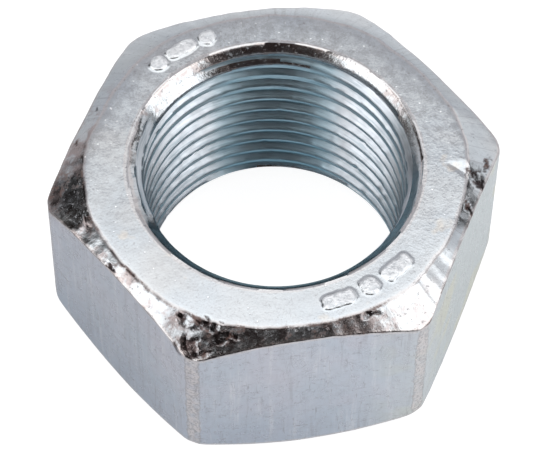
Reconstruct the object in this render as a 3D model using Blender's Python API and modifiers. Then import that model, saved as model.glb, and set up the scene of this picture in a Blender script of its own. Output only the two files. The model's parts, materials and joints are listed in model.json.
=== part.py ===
"""Fine-thread hex nut, M22 x 1.5, as one forged and tapped steel body.

Frame: origin at the centre of the lower bearing face, +Z along the thread axis towards the marked
face, +X through a corner of the hexagon, so that two wrench flats face +Y and -Y. Blender units are
metres.
"""

import math

import bmesh
import bpy
from mathutils import Matrix, Vector

MM = 0.001

# Driving dimensions, in millimetres.
ACROSS_FLATS = 32.0
HEIGHT = 17.6
CORNER_RADIUS = 18.12          # the round blank cuts the hexagon's corners at this radius

FACE_RADIUS_TOP = 15.0         # flat circle left on the marked face
FACE_RADIUS_BOTTOM = 14.1      # flat circle left on the lower face
CHAMFER_ANGLE = 32.0           # slope of the outer chamfers, from the face
BLANK_SEGMENTS = 180

THREAD_MAJOR_RADIUS = 11.0     # M22
THREAD_MINOR_RADIUS = 10.25    # 20.5 mm tapping drill
THREAD_PITCH = 1.5             # right-hand
THREAD_SEGMENTS = 40           # steps in one turn
THREAD_RUN_OUT = 2.0           # how far the tap reaches below the nut

COUNTERSINK_RADIUS = 11.53     # at both faces
COUNTERSINK_DEPTH = 1.6
COUNTERSINK_SEGMENTS = 96

MARK_PROUD = 0.18              # height of the raised marks above the face
MARK_SUNK = 0.3                # how far a mark's body is let into the nut
MARK_RING_RADIUS = 13.4
PIP_RADIUS = 0.8
DASH_LENGTH = 2.8
DASH_WIDTH = 1.3
PIP_SEGMENTS = 16

# Raised dot-and-dash marks: angle around the face in degrees, and whether the mark is a dash.
FACE_MARKS = (
    (125.0, False),
    (115.0, True),
    (105.0, False),
    (-78.0, True),
    (-66.5, False),
    (-55.0, True),
)

CLEARANCE = 2.0                # how far the cutters reach past the surfaces that they cut
CONE_OVERLAP = 0.5             # how far the countersink cones reach inside the thread's crests
TAP_OVERRUN = 0.4              # least length of the tap above the nut
SHARP_ANGLE = 35.0             # edges that turn more than this many degrees stay sharp
MERGE_DISTANCE = 0.001         # points closer than this are one point


def remove_existing_objects():
    """Empty the scene."""
    for item in list(bpy.data.objects):
        bpy.data.objects.remove(item, do_unlink=True)


def new_collection(name):
    """Make a collection under the scene's own."""
    collection = bpy.data.collections.new(name)
    bpy.context.scene.collection.children.link(collection)
    return collection


def link_mesh(name, bm, collection):
    """Turn a bmesh into an object in a collection, shaded smooth with sharp edges kept."""
    bmesh.ops.recalc_face_normals(bm, faces=bm.faces)
    mesh = bpy.data.meshes.new(name)
    bm.to_mesh(mesh)
    bm.free()
    mesh.shade_smooth()
    mesh.set_sharp_from_angle(angle=math.radians(SHARP_ANGLE))
    item = bpy.data.objects.new(name, mesh)
    collection.objects.link(item)
    return item


def as_cutter(item):
    """Show an object as a wire only."""
    item.hide_render = True
    item.display_type = 'WIRE'
    return item


def turned_solid(name, profile, segments, collection):
    """Turn a profile of (radius, height) points, given top to bottom at +X, about the Z axis."""
    bm = bmesh.new()
    points = [bm.verts.new((radius * MM, 0.0, height * MM)) for radius, height in profile]
    for first, second in zip(points, points[1:]):
        bm.edges.new((first, second))
    mesh = bpy.data.meshes.new(name)
    bm.to_mesh(mesh)
    bm.free()
    item = bpy.data.objects.new(name, mesh)
    collection.objects.link(item)
    screw = item.modifiers.new("turn", 'SCREW')
    screw.axis = 'Z'
    screw.angle = math.tau
    screw.steps = segments
    screw.render_steps = segments
    screw.use_merge_vertices = True
    screw.merge_threshold = MERGE_DISTANCE * MM
    screw.use_smooth_shade = True
    return item


def hexagon_bar(collection):
    """The hexagonal bar that the wrench flats belong to, longer than the nut at both ends."""
    bm = bmesh.new()
    corner_distance = ACROSS_FLATS / 2.0 / math.cos(math.pi / 6.0)
    bmesh.ops.create_cone(
        bm,
        cap_ends=True,
        segments=6,
        radius1=corner_distance * MM,
        radius2=corner_distance * MM,
        depth=(HEIGHT + 2.0 * CLEARANCE) * MM,
        matrix=Matrix.Translation((0.0, 0.0, HEIGHT / 2.0 * MM)),
    )
    first = max(bm.verts, key=lambda vert: vert.co.x)
    turn = math.atan2(first.co.y, first.co.x)
    bmesh.ops.rotate(bm, verts=bm.verts, cent=(0.0, 0.0, 0.0), matrix=Matrix.Rotation(-turn, 3, 'Z'))
    return link_mesh("nut_body", bm, collection)


def turned_blank(collection):
    """The double-chamfered round blank that trims the hexagon's corners and both faces."""
    slope = math.tan(math.radians(CHAMFER_ANGLE))
    profile = (
        (0.0, HEIGHT),
        (FACE_RADIUS_TOP, HEIGHT),
        (CORNER_RADIUS, HEIGHT - (CORNER_RADIUS - FACE_RADIUS_TOP) * slope),
        (CORNER_RADIUS, (CORNER_RADIUS - FACE_RADIUS_BOTTOM) * slope),
        (FACE_RADIUS_BOTTOM, 0.0),
        (0.0, 0.0),
    )
    return turned_solid("blank_envelope", profile, BLANK_SEGMENTS, collection)


def countersink_cone(name, face_height, outward, collection):
    """The cone that opens the bore at one face. outward is +1 at the top face, -1 at the bottom."""
    inner_radius = THREAD_MINOR_RADIUS - CONE_OVERLAP
    slope = (COUNTERSINK_RADIUS - THREAD_MINOR_RADIUS) / COUNTERSINK_DEPTH
    inner_depth = (COUNTERSINK_RADIUS - inner_radius) / slope
    outer_radius = COUNTERSINK_RADIUS + CLEARANCE * slope
    wide = (outer_radius, face_height + outward * CLEARANCE)
    narrow = (inner_radius, face_height - outward * inner_depth)
    ends = (wide, narrow) if outward > 0 else (narrow, wide)
    profile = ((0.0, ends[0][1]), ends[0], ends[1], (0.0, ends[1][1]))
    return turned_solid(name, profile, COUNTERSINK_SEGMENTS, collection)


def thread_profile():
    """One line of (radius, height) points along the tap, with the 60 degree ISO form."""
    flank = THREAD_PITCH * 5.0 / 16.0
    crest = THREAD_PITCH / 4.0
    root = THREAD_PITCH / 8.0
    turns = math.ceil((HEIGHT + THREAD_RUN_OUT + TAP_OVERRUN) / THREAD_PITCH)
    points = []
    for turn in range(turns):
        start = -THREAD_RUN_OUT + turn * THREAD_PITCH
        points.append((THREAD_MINOR_RADIUS, start))
        points.append((THREAD_MINOR_RADIUS, start + crest))
        points.append((THREAD_MAJOR_RADIUS, start + crest + flank))
        points.append((THREAD_MAJOR_RADIUS, start + crest + flank + root))
    points.append((THREAD_MINOR_RADIUS, -THREAD_RUN_OUT + turns * THREAD_PITCH))
    return points


def tap(collection):
    """The threaded core: the thread's line turned once while it climbs one pitch, closed by cones."""
    bm = bmesh.new()
    line = [bm.verts.new((radius * MM, 0.0, height * MM)) for radius, height in thread_profile()]
    edges = [bm.edges.new(pair) for pair in zip(line, line[1:])]
    lowest = min(vert.co.z for vert in line)
    highest = max(vert.co.z for vert in line) + THREAD_PITCH * MM
    bmesh.ops.spin(
        bm,
        geom=line + edges,
        cent=(0.0, 0.0, 0.0),
        axis=(0.0, 0.0, 1.0),
        dvec=(0.0, 0.0, THREAD_PITCH / THREAD_SEGMENTS * MM),
        angle=math.tau,
        steps=THREAD_SEGMENTS,
        use_merge=False,
    )
    # After one turn the line meets itself one pitch higher, and the two ends of the helix stay open.
    bmesh.ops.remove_doubles(bm, verts=bm.verts, dist=MERGE_DISTANCE * MM)
    middle = (lowest + highest) / 2.0
    rims = [edge for edge in bm.edges if edge.is_boundary]
    for height, sign in ((lowest, -1.0), (highest, 1.0)):
        rim = [edge for edge in rims if (edge.verts[0].co.z - middle) * sign > 0.0]
        made = bmesh.ops.extrude_edge_only(bm, edges=rim)["geom"]
        ring = [item for item in made if isinstance(item, bmesh.types.BMVert)]
        apex = Vector((0.0, 0.0, height + sign * CLEARANCE * MM))
        bmesh.ops.pointmerge(bm, verts=ring, merge_co=apex)
    return link_mesh("thread_tap", bm, collection)


def raised_marks(collection):
    """The raised pips and dashes on the upper face, each with its foot inside the nut."""
    bm = bmesh.new()
    depth = MARK_PROUD + MARK_SUNK
    centre_height = HEIGHT + (MARK_PROUD - MARK_SUNK) / 2.0
    for degrees, is_dash in FACE_MARKS:
        place = (
            Matrix.Rotation(math.radians(degrees), 4, 'Z')
            @ Matrix.Translation((MARK_RING_RADIUS * MM, 0.0, centre_height * MM))
        )
        if is_dash:
            size = Matrix.Diagonal((DASH_WIDTH * MM, DASH_LENGTH * MM, depth * MM, 1.0))
            bmesh.ops.create_cube(bm, size=1.0, matrix=place @ size)
        else:
            bmesh.ops.create_cone(
                bm,
                cap_ends=True,
                segments=PIP_SEGMENTS,
                radius1=PIP_RADIUS * MM,
                radius2=PIP_RADIUS * MM,
                depth=depth * MM,
                matrix=place,
            )
    return link_mesh("face_marks", bm, collection)


def zinc_plated_steel():
    """Bright zinc plating over forged steel."""
    material = bpy.data.materials.new("zinc_plated_steel")
    material.use_nodes = True
    shader = material.node_tree.nodes["Principled BSDF"]
    shader.inputs["Base Color"].default_value = (0.62, 0.65, 0.68, 1.0)
    shader.inputs["Metallic"].default_value = 1.0
    shader.inputs["Roughness"].default_value = 0.32
    return material


def add_boolean(item, name, operation, cutter):
    """Add an exact Boolean to an object."""
    boolean = item.modifiers.new(name, 'BOOLEAN')
    boolean.solver = 'EXACT'
    boolean.operation = operation
    boolean.object = cutter


def build_nut():
    """Shape the nut: bar, blank, countersinks, thread and raised marks."""
    parts = new_collection("hex_nut")
    cutters = new_collection("hex_nut_cutters")
    nut = hexagon_bar(parts)
    nut.data.materials.append(zinc_plated_steel())
    blank = as_cutter(turned_blank(cutters))
    upper_cone = as_cutter(countersink_cone("upper_countersink", HEIGHT, 1.0, cutters))
    lower_cone = as_cutter(countersink_cone("lower_countersink", 0.0, -1.0, cutters))
    threaded_core = as_cutter(tap(cutters))
    marks = as_cutter(raised_marks(cutters))
    add_boolean(nut, "trim to blank", 'INTERSECT', blank)
    add_boolean(nut, "upper countersink", 'DIFFERENCE', upper_cone)
    add_boolean(nut, "lower countersink", 'DIFFERENCE', lower_cone)
    add_boolean(nut, "tapped thread", 'DIFFERENCE', threaded_core)
    add_boolean(nut, "raised marks", 'UNION', marks)


remove_existing_objects()
build_nut()
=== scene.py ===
"""Looks of a fine-thread hex nut: forged steel, tapped M22 x 1.5, bright zinc plated.

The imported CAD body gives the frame, the sizes and the place. This script puts a finely shaped nut in
its place, with worn chamfers, a rounded thread, plain raised marks and plated finishes, and sets up a
small white studio around it. Lengths inside the classes are millimetres.
"""

from __future__ import annotations

import json
import logging
import math
from dataclasses import dataclass, field
from enum import Enum
from typing import Any, Sequence

import bmesh
import bpy
from mathutils import Matrix, Vector, noise


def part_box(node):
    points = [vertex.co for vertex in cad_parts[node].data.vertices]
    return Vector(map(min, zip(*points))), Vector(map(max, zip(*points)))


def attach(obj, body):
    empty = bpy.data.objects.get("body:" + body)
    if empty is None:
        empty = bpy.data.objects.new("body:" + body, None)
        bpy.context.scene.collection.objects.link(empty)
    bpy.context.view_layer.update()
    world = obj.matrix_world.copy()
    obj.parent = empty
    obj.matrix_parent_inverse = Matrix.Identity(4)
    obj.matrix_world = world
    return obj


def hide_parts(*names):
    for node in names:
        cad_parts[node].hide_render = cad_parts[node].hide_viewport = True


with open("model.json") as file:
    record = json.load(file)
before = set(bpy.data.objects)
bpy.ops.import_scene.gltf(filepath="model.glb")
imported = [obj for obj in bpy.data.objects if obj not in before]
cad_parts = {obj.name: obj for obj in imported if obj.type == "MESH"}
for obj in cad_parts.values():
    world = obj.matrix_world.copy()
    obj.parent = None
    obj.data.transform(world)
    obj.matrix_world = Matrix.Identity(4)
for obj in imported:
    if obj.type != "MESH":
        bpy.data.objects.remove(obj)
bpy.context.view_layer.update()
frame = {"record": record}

LOG = logging.getLogger("hex_nut")
MM = 0.001
NODE = "nut_body"
WEAR = "edge_wear"
SOOT_AND_SHADE = "soot_and_shade"
SHARP_DEGREES = 50.0


# ---------------------------------------------------------------- small maths


def smoothstep(low: float, high: float, value: float) -> float:
    """Ease a value from 0 at low to 1 at high.

    Args:
        low: Value where the step starts.
        high: Value where the step ends; it may be below low for a falling step.
        value: The value to ease.

    Returns:
        A number from 0 to 1.
    """
    t = min(max((value - low) / (high - low), 0.0), 1.0)
    return t * t * (3.0 - 2.0 * t)


def soft_ramp(value: float, roundness: float) -> float:
    """Give 0 for negative values and the value itself for positive ones, with a rounded knee.

    Args:
        value: The value to ramp.
        roundness: Size of the knee.

    Returns:
        The ramped value.
    """
    return (value + math.hypot(value, roundness)) / 2.0


def soft_max(first: float, second: float, roundness: float) -> float:
    """Take the larger of two numbers, with a rounded change-over."""
    return second + soft_ramp(first - second, roundness)


def ripple(place: Vector, wavelength: float, seed: float) -> float:
    """Read smooth noise of about -1 to 1.

    Args:
        place: Point in millimetres.
        wavelength: Size of a bump in millimetres.
        seed: Shift that makes one ripple differ from another.

    Returns:
        The noise value.
    """
    return noise.noise(place / wavelength + Vector((seed, -seed, 0.5 * seed)))


def bell(distance: float, width: float) -> float:
    """Give a bell curve that is 1 at no distance and fades over a width."""
    return math.exp(-(distance / width) ** 2)


@dataclass(frozen=True)
class Ripple:
    """Unevenness of the skin: its height, the size of a bump, and the shift that sets it apart."""

    height: float
    wavelength: float
    seed: float

    def at(self, place: Vector, gain: float = 0.0) -> float:
        """Read the unevenness at a point, with its height raised by a gain."""
        return (self.height + gain) * ripple(place, self.wavelength, self.seed)


@dataclass(frozen=True)
class Spot:
    """A round area of the skin, whole inside its inner radius and gone past its outer one."""

    middle: tuple[float, float, float]
    outer: float
    inner: float

    def share(self, place: Vector) -> float:
        """Tell how far a point belongs to the area, from 0 to 1."""
        return smoothstep(self.outer, self.inner, (place - Vector(self.middle)).length)


@dataclass(frozen=True)
class Side:
    """One side of the nut: its angle, and the cosines where it starts and where it is whole."""

    degrees: float
    start: float
    end: float

    def share(self, angle: float) -> float:
        """Tell how far an angle belongs to the side, from 0 to 1."""
        return smoothstep(self.start, self.end, math.cos(angle - math.radians(self.degrees)))


# ---------------------------------------------------------------- sizes


class Zone(Enum):
    """Regions of the nut's skin, with the number of its finish."""

    FACE = 0
    CHAMFER = 1
    FLAT = 2
    COUNTERSINK = 3
    THREAD = 4


@dataclass(frozen=True)
class NutSizes:
    """Sizes of the nut in millimetres.

    The width across flats, the reach of the corners, the height and the marks' height come from the
    frame. The others belong to the M22 x 1.5 thread and to the forged blank.
    """

    across_flats: float
    corner_reach: float
    height: float
    mark_height: float
    pitch: float = 1.5
    major_radius: float = 11.0
    minor_radius: float = 10.25
    countersink_radius: float = 11.53
    countersink_depth: float = 1.6
    face_radius: float = 15.1
    under_face_radius: float = 14.1
    inner_face_radius: float = 11.8
    side_inset: float = 0.03
    corner_knee: float = 0.12

    @classmethod
    def from_frame(cls, record: dict[str, Any]) -> NutSizes:
        """Read the driving sizes from the CAD node's box and the record's upper face.

        Args:
            record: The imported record.

        Returns:
            The sizes.
        """
        low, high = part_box(NODE)
        upper = next(m for m in record["mounts"] if m["name"] == "upper_bearing_face")
        height = upper["pos_m"][2]
        return cls(
            across_flats=(high.y - low.y) / MM,
            corner_reach=high.x / MM,
            height=height / MM,
            mark_height=(high.z - height) / MM,
        )

    def hexagon(self, angle: float) -> float:
        """Give the distance from the axis to the side: a flat, or the round band left at a corner."""
        to_nearest = (angle - math.pi / 2.0 + math.pi / 6.0) % (math.pi / 3.0) - math.pi / 6.0
        flat = (self.across_flats / 2.0 - self.side_inset) / math.cos(to_nearest)
        return flat - soft_ramp(flat - self.corner_reach + self.side_inset, self.corner_knee)


# ---------------------------------------------------------------- raised marks


class MarkShape(Enum):
    """The two generic class marks."""

    PIP = "pip"
    DASH = "dash"


@dataclass(frozen=True)
class FaceMark:
    """One raised mark on the upper face, at an angle around it, with a hand-struck outline."""

    degrees: float
    shape: MarkShape
    ring_radius: float = 13.4
    pip_radius: float = 0.78
    dash_length: float = 2.7
    dash_width: float = 1.25
    corner: float = 0.45
    edge: float = 0.4
    ragged: float = 0.13
    ragged_size: float = 0.6

    def distance(self, x: float, y: float) -> float:
        """Measure from a point of the face to the mark's outline, negative inside the mark."""
        turn = math.radians(self.degrees)
        radial = x * math.cos(turn) + y * math.sin(turn) - self.ring_radius
        along = -x * math.sin(turn) + y * math.cos(turn)
        wobble = self.ragged * ripple(Vector((x, y, 0.0)), self.ragged_size, self.degrees)
        if self.shape is MarkShape.PIP:
            return math.hypot(radial, along) - self.pip_radius + wobble
        across = abs(radial) - self.dash_width / 2.0 + self.corner
        down = abs(along) - self.dash_length / 2.0 + self.corner
        outside = math.hypot(max(across, 0.0), max(down, 0.0))
        return outside + min(max(across, down), 0.0) - self.corner + wobble

    def height(self, x: float, y: float) -> float:
        """Give the mark's height at a point, from 0 outside to 1 inside, over a rounded side."""
        return smoothstep(-self.edge / 2.0, self.edge / 2.0, -self.distance(x, y))


@dataclass(frozen=True)
class FaceMarks:
    """The dots and dashes that stand for the class of the nut."""

    marks: tuple[FaceMark, ...] = (
        FaceMark(125.0, MarkShape.PIP),
        FaceMark(115.0, MarkShape.DASH),
        FaceMark(105.0, MarkShape.PIP),
        FaceMark(-78.0, MarkShape.DASH),
        FaceMark(-66.5, MarkShape.PIP),
        FaceMark(-55.0, MarkShape.DASH),
    )

    def height(self, x: float, y: float) -> float:
        """Give the height of the highest mark at a point of the face, from 0 to 1."""
        return max(mark.height(x, y) for mark in self.marks)

    def near(self, x: float, y: float, margin: float) -> bool:
        """Tell whether a point is in a mark or within a margin of one."""
        return any(mark.distance(x, y) < margin for mark in self.marks)


# ---------------------------------------------------------------- knocks


@dataclass(frozen=True)
class Nick:
    """A knock or a forging lap: a ragged, elongated pit pressed into the skin."""

    place: tuple[float, float, float]
    heading: float
    half_length: float
    half_width: float
    depth: float
    ragged: float = 1.1
    ragged_size: float = 0.45
    floor_share: float = 0.5
    soot_and_shade: float = 1.0

    def push(self, place: Vector) -> float:
        """Give the depth of the pit at a point of the skin."""
        offset = place - Vector(self.place)
        if offset.length > 2.0 * self.half_length:
            return 0.0
        turn = math.radians(self.heading)
        way = Vector((math.cos(turn), math.sin(turn), 0.0))
        along = offset.dot(way)
        across = (offset - along * way).length
        reach = math.hypot(along / self.half_length, across / self.half_width)
        reach += self.ragged * ripple(place, self.ragged_size, self.heading)
        return self.depth * (1.0 - smoothstep(self.floor_share, 1.0, reach))


@dataclass(frozen=True)
class Chip:
    """A three-sided facet struck into the face, hinged at its first two corners, deep at the third."""

    corners: tuple[tuple[float, float], tuple[float, float], tuple[float, float]]
    depth: float
    edge: tuple[float, float] = (-0.03, 0.05)
    soot_and_shade: float = 0.0

    def push(self, place: Vector) -> float:
        """Give the depth of the facet at a point of the skin."""
        first, second, third = (Vector(corner) for corner in self.corners)
        hinge, side, offset = second - first, third - first, place.to_2d() - first
        area = hinge.cross(side)
        deep = hinge.cross(offset) / area
        along = offset.cross(side) / area
        inside = min(deep, along, 1.0 - deep - along)
        return self.depth * max(deep, 0.0) * smoothstep(*self.edge, inside)


# ---------------------------------------------------------------- dirt, painted shade and wear


@dataclass(frozen=True)
class SootAndShadePlan:
    """Where dark scale lies on the upper face and chamfer, where painted shade darkens the front chamfer,
    and how dense each is there, from 0 to 1.
    """

    full_depth: float = 0.025
    line_side: Side = Side(-130.0, 0.2, 0.75)
    line_out: float = 0.08
    line_width: float = 0.13
    line: Ripple = Ripple(0.8, 0.7, 17.0)
    line_share: float = 0.95
    corner: Spot = Spot((-17.0, 0.7, 16.6), 2.9, 1.0)
    corner_share: float = 0.55
    # Painted shade: a dark band on the chamfer that faces the camera, standing in for the dark it reflects
    # there.
    front: Side = Side(-100.0, 0.80, 0.96)
    front_shade_start: float = 0.3
    front_shade_ragged: Ripple = Ripple(0.35, 0.8, 18.0)
    front_shade_share: float = 0.5
    front_shade_end: tuple[float, float] = (2.0, 1.93)
    rim_width: float = 0.12
    rim_mean: float = 0.35
    rim_ragged: Ripple = Ripple(0.9, 0.9, 19.0)
    rim_share: float = 0.75


@dataclass(frozen=True)
class WearPlan:
    """How far the rubbing reaches from an edge, and how much less worn the face's two edges are."""

    reach: float = 0.55
    bore_edge_lag: float = 0.12
    face_edge_lag: float = 0.1


# ---------------------------------------------------------------- outer body


@dataclass
class HexShell:
    """The outside of the nut: upper face, chamfers, wrench flats and lower face.

    A line of stations runs from the upper countersink over the face, the chamfer and the side to the
    lower countersink. It is turned about the axis, and each point then moves to its true place, which
    follows from its station and its angle.
    """

    sizes: NutSizes
    marks: FaceMarks
    segments: int = 540
    face_rows: int = 24
    chamfer_rows: int = 28
    flat_rows: int = 26
    under_chamfer_rows: int = 9
    under_face_rows: int = 6
    chamfer_slope: float = 0.53
    back_slope: float = 0.27
    back_edge: float = 0.5
    back_knee: float = 0.3
    back_start: tuple[float, float] = (-0.15, 0.75)
    edge_knee: float = 0.12
    edge_bow: float = 0.12
    edge_wander: tuple[Ripple, ...] = (Ripple(0.16, 2.6, 3.0), Ripple(0.07, 0.8, 3.5))
    chamfer_bow: float = 0.018
    chamfer_ragged: tuple[Ripple, ...] = (Ripple(0.022, 1.5, 22.0), Ripple(0.012, 0.6, 23.0))
    ragged_start: tuple[float, float] = (0.3, 1.0)
    under_slope: float = 0.7
    under_knee: float = 0.16
    row_easing: float = 0.12
    mark_margin: float = 0.35
    mark_wear: float = 0.6
    mark_dents: Ripple = Ripple(0.15, 0.8, 9.0)
    face_skin: tuple[Ripple, ...] = (Ripple(0.010, 5.0, 1.0), Ripple(0.004, 1.2, 2.0))
    flat_skin: Ripple = Ripple(0.012, 4.5, 4.0)
    flat_fine: Ripple = Ripple(0.003, 0.8, 5.0)
    flat_edge_gain: float = 0.025
    corner_band: tuple[float, float] = (17.85, 18.05)
    corner_skin: Ripple = Ripple(0.022, 0.6, 15.0)
    lumps: Ripple = Ripple(0.024, 2.6, 6.0)
    lump_gain: float = 0.03
    scale: tuple[tuple[Ripple, float], ...] = (
        (Ripple(0.007, 0.95, 7.0), 0.013),
        (Ripple(0.003, 0.5, 8.0), 0.020),
        (Ripple(0.001, 0.28, 16.0), 0.009),
    )
    left_corner: Spot = Spot((-16.0, -2.4, 17.0), 3.4, 1.4)
    front_corner: Spot = Spot((-7.9, -14.6, 16.8), 3.6, 1.2)
    under_rough: float = 0.7
    rounded_rows: float = 0.08
    knock_end: float = 2.4
    soot_and_shade_end: float = 2.2
    soot_and_shade_plan: SootAndShadePlan = SootAndShadePlan()
    wear_plan: WearPlan = WearPlan()
    knocks: tuple[Nick | Chip, ...] = (
        Chip(((13.2, -2.0), (15.0, -2.2), (14.95, -3.9)), 0.36),
        Nick((-9.0, -14.8, 16.45), -35.0, 1.1, 0.75, 0.11),
        Nick((-9.2, -12.8, 17.25), 60.0, 0.5, 0.4, 0.1),
        Nick((-7.5, -13.8, 17.25), -20.0, 1.1, 0.6, 0.08),
        Nick((-6.4, -14.7, 17.0), -10.0, 1.3, 0.6, 0.06),
        Nick((-11.75, -9.35, 17.45), 125.0, 0.42, 0.13, 0.12),
        Nick((-12.9, -10.4, 16.9), 120.0, 0.8, 0.2, 0.06, soot_and_shade=0.6),
        Nick((-14.1, -7.2, 17.2), 115.0, 0.4, 0.22, 0.07),
        Nick((15.45, -3.8, 17.2), -72.0, 1.8, 0.55, 0.035),
        Nick((16.6, -2.1, 16.7), 50.0, 1.7, 0.3, 0.03),
        Nick((14.35, -6.7, 17.25), -62.0, 1.5, 0.32, 0.03),
        Nick((-16.3, 4.2, 16.1), 100.0, 0.4, 0.25, 0.08),
        Nick((-15.1, 4.8, 16.95), 105.0, 0.5, 0.16, 0.05),
        Nick((-13.2, 7.8, 17.15), 120.0, 0.45, 0.2, 0.06),
        Nick((-15.4, -2.6, 17.3), 95.0, 0.9, 0.14, 0.05),
        Nick((4.7, -14.8, 17.35), 15.0, 0.8, 0.3, 0.07, soot_and_shade=0.9),
    )

    def station_line(self, bm: bmesh.types.BMesh) -> None:
        """Draw the line of stations, subdivided into rows, in a new bmesh.

        Only the order of the corners matters here: each point later gets its true place from its
        station.

        Args:
            bm: The empty bmesh that takes the line.
        """
        station = bm.verts.layers.float.new("station")
        half = self.sizes.across_flats / 2.0
        corners = (
            (self.sizes.inner_face_radius, self.sizes.height),
            (self.sizes.face_radius, self.sizes.height),
            (half, self.sizes.height - 1.0),
            (half, 1.0),
            (self.sizes.under_face_radius, 0.0),
            (self.sizes.inner_face_radius, 0.0),
        )
        rows = (self.face_rows, self.chamfer_rows, self.flat_rows, self.under_chamfer_rows,
                self.under_face_rows)
        line = []
        for number, (radius, height) in enumerate(corners):
            point = bm.verts.new((radius, 0.0, height))
            point[station] = float(number)
            line.append(point)
        edges = [bm.edges.new(pair) for pair in zip(line, line[1:])]
        for edge, count in zip(edges, rows):
            bmesh.ops.subdivide_edges(bm, edges=[edge], cuts=count - 1)

    def back_share(self, angle: float) -> float:
        """Tell how far an angle belongs to the back, where the blank was trimmed deeper."""
        return smoothstep(*self.back_start, math.sin(angle))

    def face_edge(self, angle: float) -> float:
        """Give the radius where the upper face turns into the chamfer."""
        ring = Vector((math.cos(angle), math.sin(angle), 0.0)) * self.sizes.face_radius
        wander = sum(uneven.at(ring) for uneven in self.edge_wander)
        bow = self.edge_bow * math.cos(6.0 * angle)
        return self.sizes.face_radius - self.back_edge * self.back_share(angle) + wander + bow

    def chamfer_drop(self, radius: float, angle: float) -> float:
        """Give how far the upper face and chamfer lie below the top at a radius."""
        back = self.back_share(angle)
        over = radius - self.face_edge(angle)
        knee = self.edge_knee + self.back_knee * back
        slope = self.chamfer_slope + self.back_slope * back
        rim = Vector((math.cos(angle), math.sin(angle), 0.0)) * self.sizes.corner_reach
        ragged = sum(uneven.at(rim) for uneven in self.chamfer_ragged)
        ragged *= smoothstep(*self.ragged_start, over)
        return slope * soft_ramp(over, knee) + self.chamfer_bow * max(over, 0.0) ** 2 + ragged

    def under_rise(self, radius: float) -> float:
        """Give how far the lower face and chamfer lie above the bottom at a radius."""
        return self.under_slope * soft_ramp(radius - self.sizes.under_face_radius, self.under_knee)

    def place(self, station: float, angle: float) -> tuple[float, float]:
        """Give the radius and height of a station at an angle.

        Args:
            station: Whole numbers are the corners of the line, and the part after the point is the
                way to the next corner.
            angle: Angle around the axis in radians.

        Returns:
            The radius and the height.
        """
        reach = self.sizes.hexagon(angle)
        inner = self.sizes.inner_face_radius
        part = station - math.floor(station)
        if station < 1.0:
            radius = inner + (self.face_edge(angle) - inner) * part
        elif station < 2.0:
            radius = self.face_edge(angle) + (reach - self.face_edge(angle)) * part
        if station < 2.0:
            return radius, self.sizes.height - self.chamfer_drop(radius, angle)
        if station <= 3.0:
            top = self.sizes.height - self.chamfer_drop(reach, angle)
            bottom = self.under_rise(reach)
            part = station - 2.0
            eased = part - self.row_easing * math.sin(math.tau * part)
            return reach, top + (bottom - top) * eased
        if station < 4.0:
            radius = reach + (self.sizes.under_face_radius - reach) * part
        else:
            under = self.sizes.under_face_radius
            radius = under + (inner - under) * (station - 4.0)
        return radius, self.under_rise(radius)

    def forging(self, place: Vector, station: float) -> float:
        """Give the height of the forged and rubbed skin at a point, along its normal."""
        if station < 1.0 or station > 4.0:
            return sum(uneven.at(place) for uneven in self.face_skin)
        if 2.0 < station < 3.0:
            edge = smoothstep(2.2, 2.0, station) + smoothstep(2.85, 3.0, station)
            fine = self.flat_fine.at(place, self.flat_edge_gain * edge)
            band = smoothstep(*self.corner_band, place.to_2d().length)
            return self.flat_skin.at(place) + fine + band * self.corner_skin.at(place)
        rough = smoothstep(1.0, 1.15, station) if station <= 2.0 else self.under_rough
        front = self.front_corner.share(place)
        wild = max(self.left_corner.share(place), front)
        height = self.lumps.at(place, self.lump_gain * front)
        height += sum(uneven.at(place, gain * wild) for uneven, gain in self.scale)
        return rough * height

    def build(self) -> bmesh.types.BMesh:
        """Make the open outer shell, with both of its inner rims on the faces.

        Returns:
            The shell as a bmesh in millimetres.
        """
        bm = bmesh.new()
        self.station_line(bm)
        bmesh.ops.spin(
            bm,
            geom=bm.verts[:] + bm.edges[:],
            cent=(0.0, 0.0, 0.0),
            axis=(0.0, 0.0, 1.0),
            dvec=(0.0, 0.0, 0.0),
            angle=math.tau,
            steps=self.segments,
            use_merge=True,
        )
        station = bm.verts.layers.float["station"]
        self.refine(bm, station)
        for point in bm.verts:
            angle = math.atan2(point.co.y, point.co.x)
            radius, height = self.place(point[station], angle)
            point.co = (radius * math.cos(angle), radius * math.sin(angle), height)
        self.soften(bm, station)
        self.roughen(bm, station)
        self.note_wear(bm, station)
        return bm

    def refine(self, bm: bmesh.types.BMesh, station: Any) -> None:
        """Subdivide the skin where the marks stand, so that their sides are crisp."""
        around = []
        for face in bm.faces:
            if max(point[station] for point in face.verts) > 1.0:
                continue
            middle = face.calc_center_median()
            angle = math.atan2(middle.y, middle.x)
            part = sum(point[station] for point in face.verts) / len(face.verts)
            radius, _ = self.place(part, angle)
            if self.marks.near(radius * math.cos(angle), radius * math.sin(angle), self.mark_margin):
                around.append(face)
        edges = list(dict.fromkeys(edge for face in around for edge in face.edges))
        bmesh.ops.subdivide_edges(bm, edges=edges, cuts=1, use_grid_fill=True)

    def soften(self, bm: bmesh.types.BMesh, station: Any) -> None:
        """Round the two edges between the chamfers and the sides by smoothing their rows."""
        for edge_station in (2.0, 3.0):
            rows = [
                point for point in bm.verts
                if abs(point[station] - edge_station) < self.rounded_rows
            ]
            bmesh.ops.smooth_vert(
                bm, verts=rows, factor=0.5, use_axis_x=True, use_axis_y=True, use_axis_z=True
            )

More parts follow.
